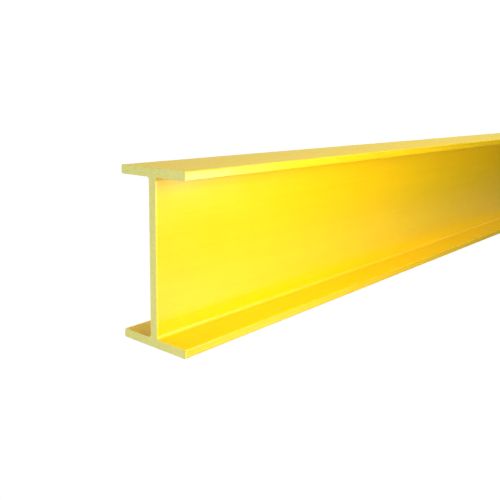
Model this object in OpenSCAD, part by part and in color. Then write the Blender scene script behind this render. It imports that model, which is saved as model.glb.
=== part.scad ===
// Pultruded fibreglass I-beam, one straight piece of stock standing on its bottom flange.
// Millimetres. X runs along the beam, Y across the flanges and Z up.
// The origin is at mid-length on the underside of the bottom flange.

/* [Section] */
// Depth of the section, from the underside to the top face
section_depth = 254; // [150:0.1:310]
// Width of each flange
flange_width = 127; // [76:0.1:155]
// Thickness of each flange
flange_thickness = 12.7; // [6:0.1:16]
// Thickness of the web
web_thickness = 12.7; // [6:0.1:16]

/* [Rounding] */
// Radius of the inside fillets where the web meets the flanges
fillet_radius = 4.8; // [1:0.1:8]
// Radius of the long outside edges at the flange tips
edge_radius = 1.6; // [0.4:0.1:2.9]

/* [Length] */
// Length between the two sawn ends
beam_length = 1524; // [300:1:6096]

/* [Hidden] */
$fn = 64;

// Clear height of the web between the two flanges
web_height = section_depth - 2 * flange_thickness;
// Height of the section's centre line, about which both halves mirror
mid_height = section_depth / 2;
// The tip's two rounded edges share its thickness, so neither takes more than half of it
tip_radius = min(edge_radius, flange_thickness / 2);

// Draws its children on both sides of the web and on both sides of the centre line
module four_ways() {
    for (side = [0, 1], half = [0, 1])
        mirror([side, 0])
            mirror([0, half])
                children();
}

// The sliver between a square corner at the origin and the arc that rounds it
module corner_sliver(radius) {
    difference() {
        square(radius);
        translate([radius, radius])
            circle(radius);
    }
}

// One quarter of the section: half of a flange with its rounded tip, half of the web, and their fillet
module quarter_section() {
    tip = flange_width / 2;
    inner_face = mid_height - flange_thickness;
    difference() {
        translate([0, inner_face])
            square([tip, flange_thickness]);
        translate([tip, mid_height])
            rotate(180)
                corner_sliver(tip_radius);
        translate([tip, inner_face])
            rotate(90)
                corner_sliver(tip_radius);
    }
    square([web_thickness / 2, web_height / 2]);
    translate([web_thickness / 2, inner_face])
        rotate(-90)
            corner_sliver(fillet_radius);
}

// The whole section, standing on its bottom flange
module section() {
    translate([0, mid_height])
        four_ways()
            quarter_section();
}

// The beam: the section drawn out along X, sawn square at both ends
module i_beam() {
    color("#f8d21c")
        rotate([90, 0, 90])
            linear_extrude(height = beam_length, center = true)
                section();
}

i_beam();
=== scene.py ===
"""Looks of the fibreglass I-beam: camera, floor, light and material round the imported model."""
import math

import bpy
from mathutils import Matrix, Vector


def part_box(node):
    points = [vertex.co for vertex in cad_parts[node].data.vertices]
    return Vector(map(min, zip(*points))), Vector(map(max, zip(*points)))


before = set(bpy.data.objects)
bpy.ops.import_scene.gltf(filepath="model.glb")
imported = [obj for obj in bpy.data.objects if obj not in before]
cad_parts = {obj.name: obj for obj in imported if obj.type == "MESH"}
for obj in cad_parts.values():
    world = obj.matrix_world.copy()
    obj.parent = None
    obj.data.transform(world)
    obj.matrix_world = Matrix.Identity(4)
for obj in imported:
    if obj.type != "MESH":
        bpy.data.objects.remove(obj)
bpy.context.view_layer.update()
scene = bpy.context.scene

# The beam's sizes, in metres
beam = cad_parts["i_beam"]
beam_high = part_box("i_beam")[1]
half_length = beam_high.x
half_width = beam_high.y
depth = beam_high.z
# Thickness of the flanges and of the web, as a share of the depth
THICKNESS_SHARE = 0.05
thickness = THICKNESS_SHARE * depth

# The photograph is 500 pixels wide. Its camera was fitted to the beam's edges.
PHOTO_WIDTH = 500.0
SENSOR_WIDTH = 36.0
FOCAL_PIXELS = 646.17
CENTRE_X, CENTRE_Y = 233.0, 232.27
# Degrees that it turns from facing the web squarely, dips below level, and rolls
CAMERA_TURN, CAMERA_DIP, CAMERA_ROLL = 48.562, 11.658, -0.754
# Camera place in section depths from the sawn end's foot
CAMERA_AT = Vector((-2.2582, -2.5691, 1.3600))
# The nearest and the farthest that it sees, in metres
CAMERA_REACH = (0.01, 200.0)

# Linear colours of the skin, from its deepest to its palest streaks
SKIN_DEEP = (0.88, 0.558, 0.0010, 1.0)
SKIN_PALE = (0.92, 0.602, 0.0020, 1.0)
# Fibres of the surface veil, seen through the pigment
VEIL = (0.80, 0.47, 0.0006, 1.0)
# The sawn edge's chipped fringe, where glass shows through the pigment, made paler still by a
# painted highlight along the edge
FRINGE_AND_HIGHLIGHT = (0.90, 0.80, 0.20, 1.0)
# The sawn end: roving ends, the mats between them and the resin round them
ROVING = (0.82, 0.80, 0.270, 1.0)
MAT = (0.79, 0.755, 0.23, 1.0)
RESIN = (0.72, 0.69, 0.22, 1.0)

# Each mask changes between these values of a part of the face's direction, or of two parts' product
SAWN_RUN = (0.4, 0.6)
CURVED_RUN = (0.05, 0.30)
TIP_RUN = (0.8, 0.95)
UPRIGHT_RUN = (0.5, 0.95)
# The flange tips' mask fades in between these distances from the flange's edge, in metres
TIP_DEPTHS = (0.0015, 0.0005)

# Skin patterns, in cells per metre along the beam, across it and up it, or the same in all three
ROVING_CELLS = (3.0, 400.0, 400.0)
BAND_CELLS = (1.2, 70.0, 70.0)
CLOUD_CELLS = 24.0
VEIL_CELLS = (150.0, 1100.0, 1100.0)
# The veil's fibres slant by this many degrees, both ways
VEIL_TURN = 32.0
TIP_LINE_CELLS = (5.0, 1.0, 1900.0)
# Shares of the patterns in the skin's tone, and the tone's run from the deepest to the palest
ROVING_TONE, BAND_TONE, CLOUD_TONE = 0.42, 0.29, 0.29
TONE_RUN = (0.30, 0.72)
FIBRE_RUN = (0.56, 0.74)
FIBRE_STRENGTH = 0.65

# The fringe and its painted highlight are weak on level faces and full on upright ones, where the
# highlight falls. It fades in between these places, in metres past the sawn end, and the chips shift
# them.
FRINGE_AND_HIGHLIGHT_LEVEL, FRINGE_AND_HIGHLIGHT_UPRIGHT = 0.15, 1.0
FRINGE_AND_HIGHLIGHT_RUN = (-0.0030, 0.0020)
FRINGE_AND_HIGHLIGHT_STRENGTH = 0.28
CHIP_CELLS = (60.0, 260.0, 260.0)
CHIP_DEPTH = 0.0036

# Sawn end: mats that waver, roving ends in patches, and saw lines that slant by a few degrees
MATS_IN_THICKNESS = 2
MAT_RUN = (0.55, 0.95)
MAT_STRENGTH = 0.6
WAVER_CELLS = 160.0
WAVER_DEPTH = 0.0022
ROVING_END_CELLS = 720.0
ROVING_END_SCATTER = 0.9
PATCH_CELLS = 110.0
SPREAD_SHARE, RIM_SHARE, PATCH_SHARE = 0.30, 0.35, 0.55
RESIN_RUN = (0.34, 0.78)
SAW_CELLS = (1.0, 25.0, 1300.0)
SAW_TURN = 7.0

# Roughness of the smooth skin and of the sawn end, and what each pattern adds to it
SKIN_ROUGH, END_ROUGH = 0.13, 0.68
CLOUD_ROUGH, ROVING_ROUGH, FRINGE_ROUGH, CURVED_ROUGH = 0.10, 0.06, 0.25, 0.22
SAW_ROUGH = 0.15
REFRACTION = 1.56
SPECULAR = 0.6

# Depth of the relief that each pattern leaves, in metres
ROVING_RELIEF, FIBRE_RELIEF, BAND_RELIEF = 0.000006, 0.000010, 0.000012
TIP_LINE_RELIEF = 0.00010
SAW_RELIEF, ROVING_END_RELIEF = 0.00008, 0.00005

# Half the floor's side, in metres
FLOOR_REACH = 40.0
FLOOR_ROUGH = 0.9
# The floor's tone beside the beam and farther off, and the distances between which it fades: a
# painted pool of light round the beam
FLOOR_TONES = (0.25, 0.03)
FLOOR_FADE = (0.15, 0.65)
# What its tone is multiplied by along the beam, and the places between which that changes: painted
# brighter towards the lit near end
FLOOR_GAINS = (1.0, 0.55)
FLOOR_RUN = (-0.7, 0.6)
# The sheen mirrors a bright floor round the near end, which fades along the beam and away from it
MIRRORED_GLOW = 0.70
GLOW_RUN = (-0.70, -0.25)
GLOW_FADE = (0.08, 0.60)
PURE_WHITE = (1.0, 1.0, 1.0, 1.0)
# Strength of the white that the camera sees in place of the floor and the room
SEEN_WHITE = 1.02
# What the room's brightness gains from left to right and from front to back
ROOM_RIGHT = 0.10
ROOM_BACK = 0.27

WHITE = (1.0, 1.0, 1.0)
COOL = (0.87, 1.0, 1.0)
WARM = (0.95, 0.75, 0.0)
LIGHTS = {
    # name: (place, target, size, watts, what it lights up, colour)
    # In front of the web
    "high": ((-0.38, -0.70, 0.62), (-0.36, 0.0, 0.15), (0.60, 0.30), 1.18, "matt", WHITE),
    "front": ((-0.38, -0.70, 0.18), (-0.36, 0.0, 0.15), (0.60, 0.30), 0.90, "matt", WHITE),
    "near": ((-0.38, -0.45, 0.23), (-0.38, 0.0, 0.20), (0.80, 0.14), 1.12, "matt", WHITE),
    "low": ((-0.75, -0.65, 0.36), (-0.75, 0.0, 0.20), (0.35, 0.26), 3.98, "matt", WHITE),
    "fill": ((0.45, -0.50, 0.23), (0.45, 0.0, 0.20), (0.80, 0.14), 1.17, "matt", WHITE),
    # Down past the top flange onto the bottom one
    "steep": ((0.02, -0.45, 1.30), (0.03, -0.03, 0.02), (1.45, 0.25), 5.40, "matt", WHITE),
    # Mirrored by the top flange's tip beside the sawn end
    "tip": ((0.21, -1.15, 0.21), (-0.70, 0.0, 0.21), (0.32, 0.08), 3.9, "sheen", WHITE),
    # Facing each sawn end
    "end": ((-2.20, -0.30, 0.18), (-0.762, 0.0, 0.13), (0.80, 0.36), 15.6, "matt", WHITE),
    "far": ((2.20, 0.40, 0.18), (0.762, 0.0, 0.13), (0.80, 0.36), 15.0, "matt", WHITE),
    # Above the top face, and a warm wall that it mirrors
    "top": ((0.60, 0.30, 2.20), (0.20, 0.05, 0.20), (0.70, 0.40), 34.0, "matt", COOL),
    "wall": ((2.90, 2.00, 0.48), (-0.10, 0.0, 0.26), (3.50, 0.90), 4.6, "sheen", WARM),
    # Behind the web
    "back": ((0.40, 1.50, 0.22), (0.20, 0.0, 0.15), (1.20, 0.35), 24.0, "matt", WHITE),
}


def make_camera():
    """A camera at the photograph's viewpoint, with its lens and framing."""
    turn, dip, roll = (math.radians(angle) for angle in (CAMERA_TURN, CAMERA_DIP, CAMERA_ROLL))
    ahead = Vector((math.sin(turn) * math.cos(dip), math.cos(turn) * math.cos(dip), -math.sin(dip)))
    level_right = Vector((math.cos(turn), -math.sin(turn), 0.0))
    level_down = ahead.cross(level_right)
    right = math.cos(roll) * level_right + math.sin(roll) * level_down
    up = math.sin(roll) * level_right - math.cos(roll) * level_down
    back = -ahead
    data = bpy.data.cameras.new("camera")
    data.sensor_width = SENSOR_WIDTH
    data.lens = FOCAL_PIXELS * SENSOR_WIDTH / PHOTO_WIDTH
    data.shift_x = (PHOTO_WIDTH / 2 - CENTRE_X) / PHOTO_WIDTH
    data.shift_y = (CENTRE_Y - PHOTO_WIDTH / 2) / PHOTO_WIDTH
    data.clip_start, data.clip_end = CAMERA_REACH
    camera = bpy.data.objects.new("camera", data)
    place = Vector((-half_length, 0.0, 0.0)) + CAMERA_AT * depth
    camera.matrix_world = Matrix((
        (right.x, up.x, back.x, place.x),
        (right.y, up.y, back.y, place.y),
        (right.z, up.z, back.z, place.z),
        (0.0, 0.0, 0.0, 1.0),
    ))
    scene.collection.objects.link(camera)
    scene.camera = camera


def make_light(name, place, target, size, watts, lights_up, colour):
    """A soft rectangular light at place, facing target, out of the camera's sight.

    It lights up only the matt part of the surfaces ("matt") or only their sheen ("sheen").
    """
    data = bpy.data.lights.new(name, "AREA")
    data.shape = "RECTANGLE"
    data.color = colour
    data.size, data.size_y = size
    data.energy = watts
    light = bpy.data.objects.new(name, data)
    light.location = place
    light.rotation_euler = (Vector(target) - Vector(place)).to_track_quat("-Z", "Y").to_euler()
    light.visible_camera = False
    light.visible_diffuse = lights_up != "sheen"
    light.visible_glossy = lights_up != "matt"
    scene.collection.objects.link(light)


class Nodes:
    """Short calls that add and link the nodes of one shader tree."""

    def __init__(self, tree):
        self.tree = tree

    def add(self, kind, values=None, **settings):
        """A new node with its settings, and its sockets fed with links or plain values."""
        node = self.tree.nodes.new("ShaderNode" + kind)
        for name, value in settings.items():
            setattr(node, name, value)
        for socket, value in (values or {}).items():
            self.feed(node.inputs[socket], value)
        return node

    def feed(self, socket, value):
        """Links a socket to another node's output, or sets its plain value."""
        if isinstance(value, bpy.types.NodeSocket):
            self.tree.links.new(value, socket)
        else:
            socket.default_value = value

    def math(self, operation, *values):
        """The result of one arithmetic node."""
        return self.add("Math", dict(enumerate(values)), operation=operation).outputs[0]

    def total(self, *shares):
        """The sum of values, each times its own share."""
        result = 0.0
        for value, share in shares:
            result = self.math("MULTIPLY_ADD", value, share, result)
        return result

    def stretched(self, place, cells, turn=(0.0, 0.0, 0.0)):
        """Coordinates in cells per metre along each axis, after a turn in degrees."""
        angles = [math.radians(angle) for angle in turn]
        turned = self.add("Mapping", {"Vector": place, "Rotation": angles})
        return self.add("Mapping", {"Vector": turned.outputs[0], "Scale": cells}).outputs[0]

    def noise(self, place, scale=1.0, detail=2.0):
        """Smooth noise that swings about 0.5."""
        values = {"Vector": place, "Scale": scale, "Detail": detail}
        return self.add("TexNoise", values).outputs["Fac"]

    def between(self, value, low, high, first=0.0, last=1.0):
        """The value's run from low to high, eased into first to last and held there beyond."""
        values = {"Value": value, "From Min": low, "From Max": high, "To Min": first, "To Max": last}
        return self.add("MapRange", values, interpolation_type="SMOOTHSTEP").outputs[0]

    def mix(self, factor, first, second):
        """A colour between first and second."""
        # The node's colour sockets come after those for numbers and vectors
        node = self.add("Mix", {0: factor}, data_type="RGBA")
        self.feed(node.inputs[6], first)
        self.feed(node.inputs[7], second)
        return node.outputs[2]

    def blend(self, factor, first, second):
        """A number between first and second."""
        node = self.add("Mix", {0: factor}, data_type="FLOAT")
        self.feed(node.inputs[2], first)
        self.feed(node.inputs[3], second)
        return node.outputs[0]


def face_masks(nodes, across):
    """How far a face looks sideways, and how far it is sawn, curved or a flange tip, from 0 to 1."""
    facing = nodes.add("SeparateXYZ", {0: nodes.add("NewGeometry").outputs["True Normal"]})
    lengthwise, sideways, level = (nodes.math("ABSOLUTE", facing.outputs[axis]) for axis in "XYZ")
    sawn = nodes.between(lengthwise, *SAWN_RUN)
    curved = nodes.between(nodes.math("MULTIPLY", sideways, level), *CURVED_RUN)
    at_edge = nodes.between(across, half_width - TIP_DEPTHS[0], half_width - TIP_DEPTHS[1])
    tip = nodes.math("MULTIPLY", nodes.between(sideways, *TIP_RUN), at_edge)
    return sideways, sawn, curved, tip


def skin_patterns(nodes, place):
    """Rovings, bands and clouds under the pigment, and the fibres of the veil over them."""
    rovings = nodes.noise(nodes.stretched(place, ROVING_CELLS), detail=3.0)
    bands = nodes.noise(nodes.stretched(place, BAND_CELLS))
    clouds = nodes.noise(place, scale=CLOUD_CELLS, detail=3.0)
    veil_left = nodes.noise(nodes.stretched(place, VEIL_CELLS, (0.0, VEIL_TURN, VEIL_TURN)))
    veil_right = nodes.noise(nodes.stretched(place, VEIL_CELLS, (0.0, -VEIL_TURN, -VEIL_TURN)))
    fibres = nodes.between(nodes.math("MAXIMUM", veil_left, veil_right), *FIBRE_RUN)
    return rovings, bands, clouds, fibres


def sawn_fringe_and_highlight(nodes, place, along, sideways):
    """The pale fringe on the faces beside a sawn edge, which chips back unevenly, with a painted
    highlight that is full on upright faces.
    """
    # Painted highlight: the fringe is lightened fully on upright faces and only weakly on level ones
    upright = nodes.between(sideways, *UPRIGHT_RUN, FRINGE_AND_HIGHLIGHT_LEVEL, FRINGE_AND_HIGHLIGHT_UPRIGHT)
    chips = nodes.noise(nodes.stretched(place, CHIP_CELLS), detail=3.0)
    reach = nodes.math("MULTIPLY_ADD", chips, CHIP_DEPTH, along)
    fringe_and_highlight = nodes.between(reach, half_length + FRINGE_AND_HIGHLIGHT_RUN[0], half_length + FRINGE_AND_HIGHLIGHT_RUN[1])
    return nodes.math("MULTIPLY", upright, fringe_and_highlight)


def skin_colour(nodes, rovings, bands, clouds, fibres, fringe_and_highlight):
    """Pigmented skin, with the fibres and the fringe that show through it, and a painted highlight
    on the fringe.
    """
    tone = nodes.total((rovings, ROVING_TONE), (bands, BAND_TONE), (clouds, CLOUD_TONE))
    skin = nodes.mix(nodes.between(tone, *TONE_RUN), SKIN_DEEP, SKIN_PALE)
    skin = nodes.mix(nodes.math("MULTIPLY", fibres, FIBRE_STRENGTH), skin, VEIL)
    # The fringe's pale colour is partly a painted highlight along the sawn edge
    return nodes.mix(nodes.math("MULTIPLY", fringe_and_highlight, FRINGE_AND_HIGHLIGHT_STRENGTH), skin, FRINGE_AND_HIGHLIGHT)


def end_colour(nodes, place, height, across, roving_ends):
    """The sawn end: roving ends in resin, between mats that lie parallel to the faces."""
    from_middle = nodes.math("ABSOLUTE", nodes.math("SUBTRACT", height, depth / 2))
    below_face = nodes.math("SUBTRACT", depth / 2, from_middle)
    in_web = nodes.math("GREATER_THAN", below_face, thickness)
    layer = nodes.blend(in_web, below_face, nodes.math("ADD", across, thickness / 2))
    waver = nodes.noise(place, scale=WAVER_CELLS)
    layer = nodes.math("MULTIPLY_ADD", waver, WAVER_DEPTH, layer)
    waves = 2 * math.pi * MATS_IN_THICKNESS / thickness
    mats = nodes.math("COSINE", nodes.math("MULTIPLY", layer, waves))
    mats = nodes.between(mats, *MAT_RUN)
    spread = nodes.add("SeparateColor", {0: roving_ends.outputs["Color"]}).outputs[0]
    rim = roving_ends.outputs["Distance"]
    patches = nodes.noise(place, scale=PATCH_CELLS, detail=3.0)
    resin = nodes.total((spread, SPREAD_SHARE), (rim, RIM_SHARE), (patches, PATCH_SHARE))
    core = nodes.mix(nodes.between(resin, *RESIN_RUN), ROVING, RESIN)
    return nodes.mix(nodes.math("MULTIPLY", mats, MAT_STRENGTH), core, MAT)


def make_fibreglass():
    """Yellow pultruded skin with faint streaks along the beam, and paler matt sawn ends."""
    look = bpy.data.materials.new("fibreglass")
    look.use_nodes = True
    shader = look.node_tree.nodes["Principled BSDF"]
    nodes = Nodes(look.node_tree)
    place = nodes.add("TexCoord").outputs["Object"]
    part = nodes.add("SeparateXYZ", {0: place})
    along = nodes.math("ABSOLUTE", part.outputs["X"])
    across = nodes.math("ABSOLUTE", part.outputs["Y"])
    sideways, sawn, curved, tip = face_masks(nodes, across)
    rovings, bands, clouds, fibres = skin_patterns(nodes, place)
    # Pale chipped fringe by the sawn end, with a painted highlight on it
    fringe_and_highlight = sawn_fringe_and_highlight(nodes, place, along, sideways)
    cells = {"Vector": place, "Scale": ROVING_END_CELLS, "Randomness": ROVING_END_SCATTER}
    roving_ends = nodes.add("TexVoronoi", cells)
    saw_lines = nodes.noise(nodes.stretched(place, SAW_CELLS, (SAW_TURN, 0.0, 0.0)))

    skin = skin_colour(nodes, rovings, bands, clouds, fibres, fringe_and_highlight)
    end = end_colour(nodes, place, part.outputs["Z"], across, roving_ends)
    nodes.feed(shader.inputs["Base Color"], nodes.mix(sawn, skin, end))

    # Gloss: a satin skin, duller where it is cloudy, chipped or curved, and a matt end
    skin_rough = nodes.total((clouds, CLOUD_ROUGH), (rovings, ROVING_ROUGH),
                             (fringe_and_highlight, FRINGE_ROUGH), (curved, CURVED_ROUGH))
    skin_rough = nodes.math("ADD", skin_rough, SKIN_ROUGH)
    end_rough = nodes.math("MULTIPLY_ADD", saw_lines, SAW_ROUGH, END_ROUGH)
    nodes.feed(shader.inputs["Roughness"], nodes.blend(sawn, skin_rough, end_rough))
    shader.inputs["IOR"].default_value = REFRACTION
    shader.inputs["Specular IOR Level"].default_value = SPECULAR

    # Relief in metres: drawn lines and veil on the skin, lines left on the flange tips, saw marks
    skin_relief = nodes.total((rovings, ROVING_RELIEF), (fibres, FIBRE_RELIEF), (bands, BAND_RELIEF))
    tip_lines = nodes.noise(nodes.stretched(place, TIP_LINE_CELLS), detail=1.0)
    tip_relief = nodes.math("MULTIPLY", tip, nodes.math("MULTIPLY", tip_lines, TIP_LINE_RELIEF))
    skin_relief = nodes.math("ADD", skin_relief, tip_relief)
    rims = roving_ends.outputs["Distance"]
    end_relief = nodes.total((saw_lines, SAW_RELIEF), (rims, ROVING_END_RELIEF))
    relief = nodes.blend(sawn, skin_relief, end_relief)
    bump = nodes.add("Bump", {"Height": relief, "Distance": 1.0, "Strength": 1.0})
    nodes.feed(shader.inputs["Normal"], bump.outputs[0])
    return look


def make_floor():
    """A wide pale floor that shows white to the camera."""
    mesh = bpy.data.meshes.new("floor")
    sides = ((-1, -1), (1, -1), (1, 1), (-1, 1))
    corners = [(x * FLOOR_REACH, y * FLOOR_REACH, 0.0) for x, y in sides]
    mesh.from_pydata(corners, [], [(0, 1, 2, 3)])
    floor = bpy.data.objects.new("floor", mesh)
    scene.collection.objects.link(floor)
    look = bpy.data.materials.new("floor")
    look.use_nodes = True
    shader = look.node_tree.nodes["Principled BSDF"]
    nodes = Nodes(look.node_tree)
    place = nodes.add("SeparateXYZ", {0: nodes.add("TexCoord").outputs["Object"]})
    along = place.outputs["X"]
    aside = nodes.math("ABSOLUTE", place.outputs["Y"])
    # Painted pool of light on the floor: brighter beside the beam and towards its near end
    tone = nodes.between(aside, *FLOOR_FADE, *FLOOR_TONES)
    gain = nodes.between(along, *FLOOR_RUN, *FLOOR_GAINS)
    nodes.feed(shader.inputs["Base Color"], nodes.math("MULTIPLY", tone, gain))
    shader.inputs["Roughness"].default_value = FLOOR_ROUGH
    ray = nodes.add("LightPath")
    glow = nodes.between(along, *GLOW_RUN, MIRRORED_GLOW, 0.0)
    glow = nodes.math("MULTIPLY", glow, nodes.between(aside, *GLOW_FADE, 1.0, 0.0))
    glow = nodes.math("MULTIPLY", glow, ray.outputs["Is Glossy Ray"])
    shader.inputs["Emission Color"].default_value = PURE_WHITE
    nodes.feed(shader.inputs["Emission Strength"], glow)
    white = nodes.add("Emission", {"Color": PURE_WHITE, "Strength": SEEN_WHITE})
    shaders = {0: ray.outputs["Is Camera Ray"], 1: shader.outputs[0], 2: white.outputs[0]}
    both = nodes.add("MixShader", shaders)
    nodes.feed(look.node_tree.nodes["Material Output"].inputs["Surface"], both.outputs[0])
    mesh.materials.append(look)


def make_world():
    """A room that is brighter to the right and behind, and white where the camera sees it."""
    world = bpy.data.worlds.new("world")
    world.use_nodes = True
    scene.world = world
    background = world.node_tree.nodes["Background"]
    background.inputs["Color"].default_value = PURE_WHITE
    nodes = Nodes(world.node_tree)
    towards = nodes.add("SeparateXYZ", {0: nodes.add("TexCoord").outputs["Generated"]})
    middle = (ROOM_RIGHT + ROOM_BACK) / 2
    room = nodes.math("MULTIPLY_ADD", towards.outputs["X"], ROOM_RIGHT / 2, middle)
    room = nodes.math("MULTIPLY_ADD", towards.outputs["Y"], ROOM_BACK / 2, room)
    seen = nodes.add("LightPath").outputs["Is Camera Ray"]
    nodes.feed(background.inputs["Strength"], nodes.blend(seen, room, SEEN_WHITE))


make_camera()
make_floor()
make_world()
for light_name, settings in LIGHTS.items():
    make_light(light_name, *settings)
fibreglass = make_fibreglass()
for slot in beam.material_slots:
    slot.material = fibreglass

scene.view_settings.view_transform = "Standard"
